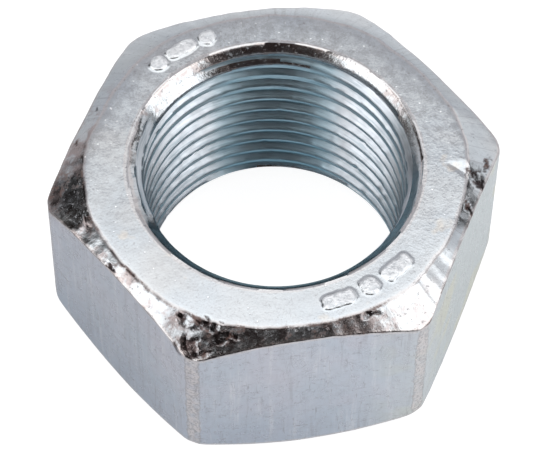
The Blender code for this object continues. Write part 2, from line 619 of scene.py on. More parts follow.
    def roughen(self, bm: bmesh.types.BMesh, station: Any) -> None:
        """Move the skin along its normals by the forging's height, the knocks and the marks."""
        bm.normal_update()
        shifts = []
        for point in bm.verts:
            place = point.co
            push = self.forging(place, point[station])
            if point[station] < self.knock_end:
                push -= sum(knock.push(place) for knock in self.knocks)
            shift = point.normal * push
            if point[station] < 1.0:
                wear = self.mark_wear + self.mark_dents.at(place)
                shift.z += self.sizes.mark_height * wear * self.marks.height(place.x, place.y)
            shifts.append(shift)
        for point, shift in zip(bm.verts, shifts):
            point.co += shift
            point.co.z = max(point.co.z, 0.0)

    def soot_and_shade(self, place: Vector, angle: float, station: float) -> float:
        """Give the dirt in the knocks and in the left corner, and the painted shade on the front chamfer,
        from 0 to 1.
        """
        plan = self.soot_and_shade_plan
        dirt = max(knock.soot_and_shade * min(knock.push(place) / plan.full_depth, 1.0) for knock in self.knocks)
        off = place.to_2d().length - self.face_edge(angle) - plan.line_out
        line = bell(off, plan.line_width) * (plan.line.height + plan.line.at(place))
        line *= plan.line_share * plan.line_side.share(angle)
        # Painted shade: the front band darkens the chamfer only on the side that faces the camera.
        band = smoothstep(0.0, plan.front_shade_start, off + plan.front_shade_ragged.at(place))
        band *= plan.front_shade_share * plan.front.share(angle) * smoothstep(*plan.front_shade_end, station)
        return max(dirt, line, plan.corner_share * plan.corner.share(place), band)

    def note_wear(self, bm: bmesh.types.BMesh, station: Any) -> None:
        """Note on each point how close it is to a rubbed edge, and how dark it is from soot and from
        painted shade.
        """
        dirt, rub = self.soot_and_shade_plan, self.wear_plan
        wear = bm.verts.layers.float.new(WEAR)
        soot_and_shade = bm.verts.layers.float.new(SOOT_AND_SHADE)
        for point in bm.verts:
            angle = math.atan2(point.co.y, point.co.x)
            radius = point.co.to_2d().length
            reach = self.sizes.hexagon(angle)
            top = self.sizes.height - self.chamfer_drop(reach, angle)
            from_top = math.hypot(reach - radius, top - point.co.z)
            from_bottom = math.hypot(reach - radius, self.under_rise(reach) - point.co.z)
            from_rim = abs(radius - self.sizes.inner_face_radius) + rub.bore_edge_lag
            from_face = abs(radius - self.face_edge(angle)) + rub.face_edge_lag
            nearest = min(from_top, from_bottom)
            if point[station] < 1.5:
                nearest = min(nearest, from_rim, from_face)
            if point[station] < self.soot_and_shade_end:
                edge = bell(from_top, dirt.rim_width) * (dirt.rim_mean + dirt.rim_ragged.at(point.co))
                edge *= dirt.rim_share
                point[soot_and_shade] = max(self.soot_and_shade(point.co, angle, point[station]), edge)
            point[wear] = 1.0 - smoothstep(0.0, rub.reach, nearest)


# ---------------------------------------------------------------- threaded bore


@dataclass
class ThreadedBore:
    """The inside of the nut: a right-hand thread between two countersinks.

    One upright line climbs a pitch while it is turned once, and meets itself a pitch higher, so every
    row of the skin follows the thread. The rows gather at the crest and the root. The drilled hole is
    a little wide near the upper face, so the first crests there are broad.
    """

    sizes: NutSizes
    segments: int = 216
    row_places: tuple[float, ...] = (0.0, 0.07, 0.12, 0.17, 0.25, 0.35, 0.43, 0.5, 0.57, 0.7, 0.83, 0.88)
    overrun: float = 2.25
    lip: float = 0.16
    crest_half: float = 0.1
    root_half: float = 0.065
    flare: float = 0.19
    flare_heights: tuple[float, float] = (11.0, 14.5)
    lip_depth: float = 0.1
    shallow_start: tuple[float, float] = (143.0, 156.0)
    shallow_end: tuple[float, float] = (203.0, 190.0)
    shallow_gain: float = 1.3
    shallow_ragged: Ripple = Ripple(0.9, 1.2, 21.0)
    smear: float = 0.4
    smear_degrees: float = 184.0
    smear_half_degrees: float = 6.0
    chatter: Ripple = Ripple(0.013, 1.6, 11.0)
    chatter_share: float = 0.4
    tear: float = 0.08
    tear_size: float = 0.8
    rolled: Ripple = Ripple(0.014, 0.9, 12.0)
    crest_ends: tuple[float, float] = (0.12, 0.3)
    tear_ends: tuple[float, float] = (0.45, 0.6)
    tear_seed: float = 13.0
    crest_knee: float = 0.01
    mouth_knee: float = 0.02
    wear_reach: float = 0.3
    weld: float = 0.002
    level: float = 0.0005

    def thread_radius(self, phase: float) -> float:
        """Give the thread's radius at a share of the pitch, from 0 at a crest to 1 at the next."""
        away = min(phase, 1.0 - phase)
        flank = (away - self.crest_half) / (0.5 - self.root_half - self.crest_half)
        depth = self.sizes.major_radius - self.sizes.minor_radius
        return self.sizes.minor_radius + depth * min(max(flank, 0.0), 1.0)

    def hole_radius(self, height: float) -> float:
        """Give the radius of the drilled hole, which flares a little towards the upper face."""
        return self.sizes.minor_radius + self.flare * smoothstep(*self.flare_heights, height)

    def countersink_radius(self, height: float, angle: float) -> float:
        """Give the radius of the nearer countersink, rolled at the lip and shallow on one side."""
        below_face = max(min(self.sizes.height - height, height), 0.0)
        slope = (self.sizes.countersink_radius - self.sizes.minor_radius) / self.sizes.countersink_depth
        degrees = math.degrees(angle)
        ring = Vector((math.cos(angle), math.sin(angle), 0.0)) * self.sizes.countersink_radius
        upper = smoothstep(0.4, 0.6, height / self.sizes.height)
        shallow = smoothstep(*self.shallow_start, degrees) * smoothstep(*self.shallow_end, degrees)
        slope *= 1.0 + shallow * upper * (self.shallow_gain + self.shallow_ragged.at(ring))
        smear = self.smear * bell(degrees - self.smear_degrees, self.smear_half_degrees)
        smear *= smoothstep(0.0, 0.2, below_face) * upper
        cone = self.sizes.countersink_radius - slope * below_face
        return cone + self.lip * math.exp(-below_face / self.lip_depth) - smear

    def build(self) -> bmesh.types.BMesh:
        """Make the open tube, cut level with both faces.

        Returns:
            The tube as a bmesh in millimetres.
        """
        bm = bmesh.new()
        rows = len(self.row_places)
        turns = math.ceil((self.sizes.height + 2.0 * self.overrun) / self.sizes.pitch)
        low = bm.verts.new((self.sizes.minor_radius, 0.0, -self.overrun))
        high = bm.verts.new((self.sizes.minor_radius, 0.0, turns * self.sizes.pitch - self.overrun))
        edge = bm.edges.new((low, high))
        bmesh.ops.subdivide_edges(bm, edges=[edge], cuts=turns * rows - 1)
        bmesh.ops.spin(
            bm,
            geom=bm.verts[:] + bm.edges[:],
            cent=(0.0, 0.0, 0.0),
            axis=(0.0, 0.0, 1.0),
            dvec=(0.0, 0.0, self.sizes.pitch / self.segments),
            angle=math.tau,
            steps=self.segments,
            use_merge=False,
        )
        bmesh.ops.remove_doubles(bm, verts=bm.verts, dist=self.weld)
        thread = bm.verts.layers.float.new("thread")
        wear = bm.verts.layers.float.new(WEAR)
        for point in bm.verts:
            self.cut(point, thread)
            below_face = min(self.sizes.height - point.co.z, point.co.z)
            point[wear] = 1.0 - smoothstep(0.0, self.wear_reach, below_face)
        for height, up in ((self.sizes.height, 1.0), (0.0, -1.0)):
            bmesh.ops.bisect_plane(
                bm,
                geom=bm.verts[:] + bm.edges[:] + bm.faces[:],
                dist=self.level,
                plane_co=(0.0, 0.0, height),
                plane_no=(0.0, 0.0, up),
                clear_outer=True,
            )
        return bm

    def cut(self, point: bmesh.types.BMVert, thread: Any) -> None:
        """Move one point of the tube to the thread or the countersink.

        Args:
            point: The point to move.
            thread: Layer that takes 1 on the thread and 0 on a countersink.
        """
        rows = len(self.row_places)
        angle = math.atan2(point.co.y, point.co.x) % math.tau
        climb = (point.co.z + self.overrun) / self.sizes.pitch - angle / math.tau
        row = round((climb - math.floor(climb)) * rows) % rows
        phase = self.row_places[row]
        height = point.co.z + (phase - row / rows) * self.sizes.pitch
        ring = Vector((math.cos(angle), math.sin(angle), 0.0))
        place = ring * 2.0 * self.sizes.major_radius + Vector((0.0, 0.0, height))
        crest = 1.0 - smoothstep(*self.crest_ends, min(phase, 1.0 - phase))
        wander = (self.chatter_share + crest) * self.chatter.at(place)
        torn = smoothstep(*self.tear_ends, ripple(place, self.tear_size, self.tear_seed))
        torn *= self.tear * crest
        threaded = self.thread_radius(phase) + wander + torn
        threaded = soft_max(threaded, self.hole_radius(height) + wander, self.crest_knee)
        mouth = ring * self.sizes.major_radius + Vector((0.0, 0.0, height))
        flared = self.countersink_radius(height, angle) + self.rolled.at(mouth)
        radius = soft_max(flared, threaded, self.mouth_knee)
        point.co = (radius * ring.x, radius * ring.y, height)
        point[thread] = 1.0 if threaded > flared - self.mouth_knee else 0.0


# ---------------------------------------------------------------- shader writing


class Graph:
    """A short-hand writer of shader nodes in one node tree."""

    def __init__(self, tree: bpy.types.NodeTree) -> None:
        """Keep the tree that the nodes go into."""
        self.tree = tree

    def node(self, kind: str, inputs: dict[Any, Any] | None = None, **settings: Any) -> bpy.types.Node:
        """Add a node.

        Args:
            kind: The node's type name.
            inputs: Socket names or numbers, each with a value or with a socket to link from.
            settings: Properties of the node.

        Returns:
            The new node.
        """
        made = self.tree.nodes.new(kind)
        for name, value in settings.items():
            setattr(made, name, value)
        for key, value in (inputs or {}).items():
            self.feed(made.inputs[key], value)
        return made

    def feed(self, socket: bpy.types.NodeSocket, value: Any) -> None:
        """Link a socket to a socket, or set its value."""
        if isinstance(value, bpy.types.NodeSocket):
            self.tree.links.new(value, socket)
        else:
            socket.default_value = value

    def math(self, operation: str, first: Any, second: Any = 0.0, third: Any = 0.0) -> bpy.types.NodeSocket:
        """Add a Math node and give its result."""
        made = self.node("ShaderNodeMath", operation=operation)
        for socket, value in zip(made.inputs, (first, second, third)):
            self.feed(socket, value)
        return made.outputs[0]

    def product(self, first: Any, *others: Any) -> Any:
        """Multiply values and give the result."""
        for other in others:
            first = self.math("MULTIPLY", first, other)
        return first

    def add(self, height: Any, value: Any, share: Any) -> bpy.types.NodeSocket:
        """Add a share of a value to a height and give the result."""
        return self.math("MULTIPLY_ADD", value, share, height)

    def vector(self, operation: str, first: Any, second: Any = (0.0, 0.0, 0.0)) -> bpy.types.Node:
        """Add a Vector Math node and give the node, whose outputs are Vector and Value."""
        return self.node("ShaderNodeVectorMath", {0: first, 1: second}, operation=operation)

    def noise(self, vector: Any, scale: Any, detail: float = 2.0, roughness: float = 0.5) -> Any:
        """Add a Noise Texture and give its value."""
        made = self.node(
            "ShaderNodeTexNoise",
            {"Vector": vector, "Scale": scale, "Detail": detail, "Roughness": roughness},
        )
        return made.outputs[0]

    def step(self, value: Any, low: Any, high: Any, start: Any = 0.0, end: Any = 1.0) -> Any:
        """Map a value smoothly from low..high to start..end and give the result."""
        made = self.node(
            "ShaderNodeMapRange",
            {"Value": value, "From Min": low, "From Max": high, "To Min": start, "To Max": end},
            interpolation_type="SMOOTHSTEP",
        )
        return made.outputs["Result"]

    def blend(self, factor: Any, first: Any, second: Any, mode: str = "MIX") -> bpy.types.NodeSocket:
        """Mix two colours and give the result."""
        made = self.node("ShaderNodeMix", data_type="RGBA", blend_type=mode)
        self.feed(made.inputs["Factor"], factor)
        colours = [socket for socket in made.inputs if socket.type == "RGBA"]
        self.feed(colours[0], first)
        self.feed(colours[1], second)
        return next(socket for socket in made.outputs if socket.type == "RGBA")

    def split_camera_rays(self, lit: bpy.types.Node, seen: bpy.types.Node, out: bpy.types.Node) -> None:
        """Show the camera one shader and light the nut with another one."""
        ray = self.node("ShaderNodeLightPath").outputs["Is Camera Ray"]
        mixed = self.node("ShaderNodeMixShader", {0: ray, 1: lit.outputs[0], 2: seen.outputs[0]})
        self.feed(out.inputs["Surface"], mixed.outputs[0])

    def tint(self, colour: Any, target: Any, *masks: Any) -> bpy.types.NodeSocket:
        """Blend a colour towards another one by the product of some masks."""
        return self.blend(self.product(*masks), colour, target)

    def ridge(self, value: Any, low: float, high: float) -> Any:
        """Give the lines where a noise crosses its middle value, as a step of the distance to it."""
        return self.step(self.math("ABSOLUTE", self.math("SUBTRACT", value, 0.5)), low, high)


@dataclass(frozen=True)
class Patches:
    """Soft-edged noise patches: noise scale per millimetre, edges, strongest share and fineness."""

    scale: float
    low: float
    high: float
    share: float = 1.0
    detail: float = 3.0
    roughness: float = 0.75
    base: float = 0.0

    def mask(self, graph: Graph, place: Any) -> Any:
        """Write the patches' mask, from the base to the share."""
        mottle = graph.noise(place, self.scale, self.detail, self.roughness)
        return graph.step(mottle, self.low, self.high, self.base, self.share)


def new_group(name: str, inputs: Sequence[tuple[str, str, Any]], outputs: Sequence[tuple[str, str]]) -> Any:
    """Start a shader node group.

    Args:
        name: The group's name.
        inputs: Name, socket kind and default of each input.
        outputs: Name and socket kind of each output.

    Returns:
        The group's tree, its input sockets' node and its output sockets' node.
    """
    tree = bpy.data.node_groups.new(name, "ShaderNodeTree")
    for label, kind, default in inputs:
        socket = tree.interface.new_socket(label, in_out="INPUT", socket_type=kind)
        if default is not None:
            socket.default_value = default
    for label, kind in outputs:
        tree.interface.new_socket(label, in_out="OUTPUT", socket_type=kind)
    return tree, tree.nodes.new("NodeGroupInput"), tree.nodes.new("NodeGroupOutput")


FLOAT = "NodeSocketFloat"
COLOUR = "NodeSocketColor"
VECTOR = "NodeSocketVector"


class SharedEffects:
    """The node groups that the nut's finishes share."""

    def __init__(self) -> None:
        """Build every group once."""
        self.round_places = self._round_places()
        self.plating = self._plating()
        self.speckle = self._speckle()
        self.rubbing = self._rubbing()

    @staticmethod
    def use(graph: Graph, group: bpy.types.NodeTree, inputs: dict[str, Any]) -> bpy.types.Node:
        """Place a group in a material's graph."""
        made = graph.node("ShaderNodeGroup", node_tree=group)
        for key, value in inputs.items():
            graph.feed(made.inputs[key], value)
        return made

    @staticmethod
    def _round_places() -> bpy.types.NodeTree:
        """Turn a place in metres into a ring vector that is the same at every height and radius."""
        tree, given, out = new_group(
            "round_places",
            (("Place", VECTOR, None),),
            (("Millimetres", VECTOR), ("Ring", VECTOR), ("Radius", FLOAT), ("Height", FLOAT)),
        )
        graph = Graph(tree)
        scaled = graph.node("ShaderNodeVectorMath", {0: given.outputs["Place"], "Scale": 1.0 / MM},
                            operation="SCALE").outputs[0]
        flat = graph.vector("MULTIPLY", scaled, (1.0, 1.0, 0.0)).outputs[0]
        parts = graph.node("ShaderNodeSeparateXYZ", {0: scaled})
        graph.feed(out.inputs["Millimetres"], scaled)
        graph.feed(out.inputs["Ring"], graph.vector("NORMALIZE", flat).outputs[0])
        graph.feed(out.inputs["Radius"], graph.vector("LENGTH", flat).outputs["Value"])
        graph.feed(out.inputs["Height"], parts.outputs[2])
        return tree

    @staticmethod
    def _plating() -> bpy.types.NodeTree:
        """Tint the zinc like its thin passivation film: blue, lilac and a little straw."""
        tree, given, out = new_group(
            "passivation_tint",
            (("Place", VECTOR, None), ("Zinc", COLOUR, None), ("Cool", COLOUR, None),
             ("Warm", COLOUR, None), ("Amount", FLOAT, 0.5), ("Patch size", FLOAT, 6.0)),
            (("Colour", COLOUR),),
        )
        graph = Graph(tree)
        scale = graph.math("DIVIDE", 1.0, given.outputs["Patch size"])
        shifted = graph.vector("ADD", given.outputs["Place"], (31.0, 17.0, 5.0)).outputs[0]
        cool = graph.step(graph.noise(given.outputs["Place"], scale), 0.38, 0.66)
        warm = graph.step(graph.noise(shifted, scale), 0.5, 0.72)
        amount = given.outputs["Amount"]
        colour = graph.tint(given.outputs["Zinc"], given.outputs["Cool"], cool, amount)
        colour = graph.tint(colour, given.outputs["Warm"], warm, amount)
        graph.feed(out.inputs["Colour"], colour)
        return tree

    @staticmethod
    def _speckle() -> bpy.types.NodeTree:
        """Give the fine crystalline mottle of zinc plating as a height and as a shade."""
        tree, given, out = new_group(
            "zinc_speckle",
            (("Place", VECTOR, None), ("Grain size", FLOAT, 0.2)),
            (("Shade", FLOAT), ("Height", FLOAT), ("Flecks", FLOAT)),
        )
        graph = Graph(tree)
        scale = graph.math("DIVIDE", 1.0, given.outputs["Grain size"])
        fine = graph.noise(given.outputs["Place"], scale, 3.0, 0.6)
        coarse = graph.noise(given.outputs["Place"], graph.math("MULTIPLY", scale, 0.31))
        both = graph.add(graph.math("MULTIPLY", fine, 0.4), coarse, 0.6)
        cells = graph.node(
            "ShaderNodeTexVoronoi",
            {"Vector": given.outputs["Place"], "Scale": graph.math("MULTIPLY", scale, 0.35)},
        ).outputs["Distance"]
        flecks = graph.product(graph.step(cells, 0.17, 0.09), graph.step(coarse, 0.51, 0.61))
        graph.feed(out.inputs["Shade"], both)
        graph.feed(out.inputs["Height"], fine)
        graph.feed(out.inputs["Flecks"], flecks)
        return tree

    @staticmethod
    def _rubbing() -> bpy.types.NodeTree:
        """Break the wear at the edges into rubbed metal, which is also painted lighter as the edges'
        highlight line, and little dark gaps of grime.
        """
        tree, given, out = new_group(
            "edge_rubbing_and_sheen",
            (("Place", VECTOR, None), ("Wear", FLOAT, 0.0)),
            (("Mask", FLOAT), ("Grime", FLOAT)),
        )
        graph = Graph(tree)
        place, wear = given.outputs["Place"], given.outputs["Wear"]
        edge = graph.add(graph.math("SUBTRACT", wear, 0.45), graph.noise(place, 1.1, 4.0, 0.7), 0.9)
        mask = graph.step(edge, 0.38, 0.72)
        gaps = Patches(2.7, 0.58, 0.68, detail=4.0).mask(graph, place)
        grime = graph.product(graph.step(wear, 0.35, 0.8), gaps)
        graph.feed(out.inputs["Mask"], mask)
        graph.feed(out.inputs["Grime"], grime)
        return tree


# ---------------------------------------------------------------- finishes


Colour = tuple[float, float, float, float]


@dataclass(frozen=True)
class PlatedFinish:
    """One zinc-plated finish. Colours are linear, lengths are millimetres."""

    name: str
    zinc: Colour = (0.59, 0.62, 0.64, 1.0)
    cool: Colour = (0.535, 0.585, 0.63, 1.0)
    warm: Colour = (0.60, 0.60, 0.595, 1.0)
    tint: float = 0.5
    patch: float = 6.0
    roughness: tuple[float, float] = (0.14, 0.22)
    grain: float = 0.22
    grain_depth: float = 0.004
    dark: Colour = (0.28, 0.27, 0.28, 1.0)
    rubbed_sheen: Colour = (0.66, 0.60, 0.58, 1.0)
    rubbed_sheen_share: float = 0.5
    grime_share: float = 0.75
    soot_and_shade_colour: Colour = (0.036, 0.025, 0.024, 1.0)
    soot_and_shade_breaks: Patches = Patches(2.4, 0.36, 0.50, 0.97, 5.0, 0.85, base=0.3)
    oxide_and_shade: Colour = (0.125, 0.07, 0.058, 1.0)
    oxide_and_shade_patches: Patches = Patches(0.7, 0.51, 0.60, 0.75, 5.0, 0.85)

    def build(self, shared: SharedEffects) -> bpy.types.Material:
        """Make the material: places, tint, speckle, the finish's own marks, then the rubbed edges with
        their painted highlight line.

        Args:
            shared: The node groups to use.

        Returns:
            The material.
        """
        material = bpy.data.materials.new(self.name)
        material.use_nodes = True
        tree = material.node_tree
        shader = tree.nodes["Principled BSDF"]
        graph = Graph(tree)
        position = graph.node("ShaderNodeTexCoord").outputs["Object"]
        places = shared.use(graph, shared.round_places, {"Place": position})
        millimetres = places.outputs["Millimetres"]
        tinted = shared.use(graph, shared.plating, {
            "Place": millimetres, "Zinc": self.zinc, "Cool": self.cool, "Warm": self.warm,
            "Amount": self.tint, "Patch size": self.patch,
        }).outputs["Colour"]
        speckle = shared.use(graph, shared.speckle, {"Place": millimetres, "Grain size": self.grain})
        colour, rough, height = self.detail(graph, places, speckle, tinted)
        wear = graph.node("ShaderNodeAttribute", attribute_name=WEAR).outputs["Fac"]
        rubbed_sheen = shared.use(graph, shared.rubbing, {"Place": millimetres, "Wear": wear})
        # Painted highlight: the rubbed edges are tinted pale and pinkish, which also stands for the edges'
        # highlight line.
        colour = graph.tint(colour, self.rubbed_sheen, rubbed_sheen.outputs["Mask"], self.rubbed_sheen_share)
        colour = graph.tint(colour, self.dark, rubbed_sheen.outputs["Grime"], self.grime_share)
        # Soot in the knocks, the left corner and along the edges, and painted shade on the front chamfer;
        # the brown oxide follows both.
        soot_and_shade = graph.node("ShaderNodeAttribute", attribute_name=SOOT_AND_SHADE).outputs["Fac"]
        colour = graph.tint(colour, self.soot_and_shade_colour, soot_and_shade, self.soot_and_shade_breaks.mask(graph, millimetres))
        brown = graph.product(self.oxide_and_shade_patches.mask(graph, millimetres), graph.step(soot_and_shade, 0.1, 0.5))
        colour = graph.tint(colour, self.oxide_and_shade, brown)
        graph.feed(shader.inputs["Metallic"], graph.math("SUBTRACT", 1.0, brown))
        graph.feed(shader.inputs["Base Color"], colour)
        graph.feed(shader.inputs["Roughness"], rough)
        bump = graph.node("ShaderNodeBump", {"Height": height, "Distance": MM})
        graph.feed(shader.inputs["Normal"], bump.outputs["Normal"])
        return material

    def detail(self, graph: Graph, places: Any, speckle: Any, tinted: Any) -> tuple[Any, Any, Any]:
        """Give colour, roughness and height in millimetres for a plain plated skin.

        Args:
            graph: The material's graph.
            places: The placed round_places group.
            speckle: The placed zinc_speckle group.
            tinted: The tinted zinc colour.

        Returns:
            The colour, roughness and height sockets.
        """
        shade = speckle.outputs["Shade"]
        rough = graph.step(shade, 0.35, 0.65, *self.roughness)
        height = graph.math("MULTIPLY", speckle.outputs["Height"], self.grain_depth)
        return tinted, rough, height

    @staticmethod
    def around(graph: Graph, places: Any, radius: float = 16.0) -> Any:
        """Give the place on a circle around the axis, the same at every height and radius."""
        return graph.vector("MULTIPLY", places.outputs["Ring"], (radius, radius, 0.0)).outputs[0]

    @staticmethod
    def towards(graph: Graph, places: Any, degrees: float, start: float, end: float) -> Any:
        """Give a mask that grows towards one side of the nut.

        Args:
            graph: The material's graph.
            places: The placed round_places group.
            degrees: The side, as an angle around the nut.
            start: Share of the way to that side, from -1 to 1, where the mask is 0.
            end: Share of the way where the mask is 1.

        Returns:
            The mask socket.
        """
        turn = math.radians(degrees)
        way = (math.cos(turn), math.sin(turn), 0.0)
        share = graph.vector("DOT_PRODUCT", places.outputs["Ring"], way).outputs["Value"]
        return graph.step(share, start, end)


@dataclass(frozen=True)
class FaceFinish(PlatedFinish):
    """The satin faces: fine mottle, small pits painted bright as glints, dull and straw spots, and marks
    painted bright as a highlight.
    """

    mark_level: float = 100.0
    # Painted highlight colour for the glinting pits and the marks.
    bright: Colour = (0.96, 0.965, 0.975, 1.0)
    straw: Colour = (0.70, 0.61, 0.50, 1.0)
    spots: Patches = Patches(1.9, 0.61, 0.70, 0.45, 5.0)
    straw_spots: Patches = Patches(0.33, 0.64, 0.74, 0.4, roughness=0.6)
    paper: Patches = Patches(4.2, 0.54, 0.66, 0.3)
    mottle_share: float = 0.2
    fleck_share: float = 0.7
    fleck_depth: float = 0.012
    mark_dents: float = 0.05
    mark_dullness: float = 0.2
    peel_depth: float = 0.003
    worm_depth: float = 0.0015

    def detail(self, graph: Graph, places: Any, speckle: Any, tinted: Any) -> tuple[Any, Any, Any]:
        """Add the mottle, the pits painted bright as glints, the spots and the marks; the arguments and
        results are the plain skin's.
        """
        millimetres = places.outputs["Millimetres"]
        _, rough, height = super().detail(graph, places, speckle, tinted)
        mottle = graph.step(speckle.outputs["Shade"], 0.62, 0.38)
        colour = graph.tint(tinted, self.dark, mottle, self.mottle_share)
        colour = graph.tint(colour, self.dark, self.spots.mask(graph, millimetres))
        colour = graph.tint(colour, self.straw, self.straw_spots.mask(graph, millimetres))
        # Painted glints: the little pits of the plating are also painted bright, standing in for their
        # glints.
        flecks = speckle.outputs["Flecks"]
        colour = graph.tint(colour, self.bright, flecks, self.fleck_share)
        colour = graph.tint(colour, self.dark, self.paper.mask(graph, millimetres))
        # Painted highlight: the marks are painted brighter, standing in for the light their tops and sides
        # reflect.
        marks = graph.step(places.outputs["Height"], self.mark_level - 0.07, self.mark_level - 0.02)
        dents = graph.noise(millimetres, 2.6, 3.0, 0.7)
        colour = graph.tint(colour, self.bright, marks, graph.step(dents, 0.38, 0.58, 0.15, 0.6))
        rough = graph.add(rough, marks, self.mark_dullness)
        height = graph.add(height, graph.noise(millimetres, 2.2), self.peel_depth)
        worms = graph.ridge(graph.noise(millimetres, 1.6), 0.0, 0.12)
        side = self.towards(graph, places, -25.0, 0.45, 0.9)
        height = graph.add(height, graph.product(worms, side), -self.worm_depth)
        height = graph.add(height, graph.product(marks, dents), self.mark_dents)
        return colour, rough, graph.add(height, flecks, -self.fleck_depth)


@dataclass(frozen=True)
class ChamferFinish(PlatedFinish):
    """The forged chamfers and countersinks, with lumpy scale under bright plating, and painted shade on the
    near side.
    """

    lump: float = 0.5
    lump_depth: float = 0.006
    crinkle_depth: float = 0.0015
    scale: Colour = (0.36, 0.27, 0.25, 1.0)
    scale_side: float = -135.0
    scale_patches: Patches = Patches(0.6, 0.46, 0.62, 0.7, roughness=0.65)
    # Painted shade: a dark colour laid over the near side, with its share.
    shade: Colour = (0.40, 0.46, 0.50, 1.0)
    painted_shade_share: float = 0.0
    drag_lines: Patches = Patches(4.0, 0.52, 0.68, 0.35, roughness=0.7)
    pits: Patches = Patches(3.0, 0.60, 0.68, detail=4.0, roughness=0.8)
    pit_share: float = 0.8
    pit_depth: float = 0.008

    def detail(self, graph: Graph, places: Any, speckle: Any, tinted: Any) -> tuple[Any, Any, Any]:
        """Add the lumps, the scale and the painted shade on the near side; the arguments and results are
        those of the plain skin.
        """
        millimetres = places.outputs["Millimetres"]
        _, rough, height = super().detail(graph, places, speckle, tinted)
        side = self.towards(graph, places, self.scale_side, -0.1, 0.5)
        colour = graph.tint(tinted, self.scale, self.scale_patches.mask(graph, millimetres), side)
        # Painted shade: the side nearest the camera is darkened, standing in for the shade that falls
        # there.
        near = self.towards(graph, places, -108.0, 0.3, 0.9)
        colour = graph.tint(colour, self.shade, near, self.painted_shade_share)
        colour = graph.tint(colour, self.dark, self.drag_lines.mask(graph, self.around(graph, places)))
        pits = self.pits.mask(graph, millimetres)
        colour = graph.tint(colour, self.dark, pits, self.pit_share)
        height = graph.add(height, graph.noise(millimetres, 1.0 / self.lump), self.lump_depth)
        crinkle = graph.ridge(graph.noise(millimetres, 2.4), 0.0, 0.1)
        crinkle = graph.product(crinkle, graph.math("ADD", side, 0.25))
        height = graph.add(height, crinkle, -self.crinkle_depth)
        return colour, rough, graph.add(height, pits, -self.pit_depth)


@dataclass(frozen=True)
class FlatFinish(PlatedFinish):
    """The wrench flats: bluish drawing lines, hair scratches, rubbed corner bands with a painted sheen, and
    painted shade at the foot of the left flats.
    """

    green: Colour = (0.555, 0.615, 0.60, 1.0)
    straw: Colour = (0.66, 0.65, 0.50, 1.0)
    pale: Colour = (0.74, 0.75, 0.78, 1.0)
    # Painted shade colour for the foot of the left flats.
    painted_foot_shade: Colour = (0.40, 0.47, 0.56, 1.0)
    green_share: float = 0.8
    oil: Patches = Patches(0.16, 0.52, 0.62, 0.7, 2.0, 0.5)
    mottle_share: float = 0.14
    streak_climb: float = 0.06
    streak_depth: float = 0.004
    scratch_stretch: tuple[tuple[float, float, float], ...] = (
        (7.0, 7.0, 0.9), (1.4, 1.4, 7.0), (3.0, 3.0, 4.5)
    )
    scratch_share: float = 0.42
    scratch_depth: float = 0.006
    corner_radius: float = 18.05
    corner_wander: float = 0.14
    corner_worn: Patches = Patches(0.9, 0.35, 0.6, 0.75, 4.0, base=0.3)
    corner_grit: Patches = Patches(4.4, 0.50, 0.60, 0.7, 4.0, 0.8)
    rim_share: float = 1.6
    corner_dullness: float = 0.1

    def detail(self, graph: Graph, places: Any, speckle: Any, tinted: Any) -> tuple[Any, Any, Any]:
        """Add the lines and edges; the arguments and results are those of the plain skin."""
        millimetres = places.outputs["Millimetres"]
        _, rough, height = super().detail(graph, places, speckle, tinted)
        right = self.towards(graph, places, -20.0, 0.55, 0.95)
        colour = graph.tint(tinted, self.green, right, self.green_share)
        colour = graph.tint(colour, self.straw, self.oil.mask(graph, millimetres), right)
        # Painted shade: the flats turn darker and bluish towards their foot on the left side, standing in
        # for the reflected shadow of the floor near the nut.
        low = graph.step(places.outputs["Height"], 12.0, 1.0, 0.0, 0.6)
        colour = graph.tint(colour, self.painted_foot_shade, low, self.towards(graph, places, -140.0, 0.2, 0.9))
        climb = graph.vector("MULTIPLY", millimetres, (0.0, 0.0, self.streak_climb)).outputs[0]
        upright = graph.vector("ADD", self.around(graph, places), climb).outputs[0]
        streaks = graph.noise(upright, 1.9, 4.0, 0.7)
        colour = graph.tint(colour, self.pale, graph.step(streaks, 0.52, 0.74, 0.0, 0.5))
        colour = graph.tint(colour, self.dark, graph.step(streaks, 0.46, 0.3, 0.0, 0.25))
        mottle = graph.step(speckle.outputs["Shade"], 0.60, 0.40)
        colour = graph.tint(colour, self.dark, mottle, self.mottle_share)
        scratches = self.scratches(graph, millimetres)
        colour = graph.tint(colour, self.dark, scratches, self.scratch_share)
        wander = graph.math("SUBTRACT", graph.noise(millimetres, 1.5, 3.0, 0.7), 0.5)
        out = graph.add(places.outputs["Radius"], wander, self.corner_wander)
        band = graph.step(out, self.corner_radius - 0.03, self.corner_radius + 0.01)
        rim = graph.product(band, graph.math("SUBTRACT", 1.0, band))
        # The corner bands take the rubbed colour too, which is both wear and painted sheen.
        colour = graph.tint(colour, self.rubbed_sheen, band, self.corner_worn.mask(graph, millimetres))
        colour = graph.tint(colour, self.dark, rim, self.rim_share)
        colour = graph.tint(colour, self.dark, band, self.corner_grit.mask(graph, millimetres))
        rough = graph.add(rough, band, self.corner_dullness)
        height = graph.add(height, streaks, self.streak_depth)
        return colour, rough, graph.add(height, scratches, -self.scratch_depth)

    def scratches(self, graph: Graph, millimetres: Any) -> Any:
        """Write sparse hair scratches in a few directions.

        Args:
            graph: The material's graph.
            millimetres: The place in millimetres.

        Returns:
            The scratches' mask.
        """
        scratches: Any = 0.0
        for number, stretch in enumerate(self.scratch_stretch):
            along = graph.node(
                "ShaderNodeMapping",
                {"Vector": millimetres, "Location": (number * 7.0, 0.0, 0.0), "Scale": stretch,
                 "Rotation": (0.2 * number, 0.35 * number, 0.0)},
            ).outputs[0]
            sparse = graph.step(graph.noise(along, 0.5, 1.0), 0.5, 0.62)
            line = graph.product(graph.ridge(graph.noise(along, 0.22), 0.014, 0.003), sparse)
            scratches = graph.math("MAXIMUM", scratches, line)
        return scratches


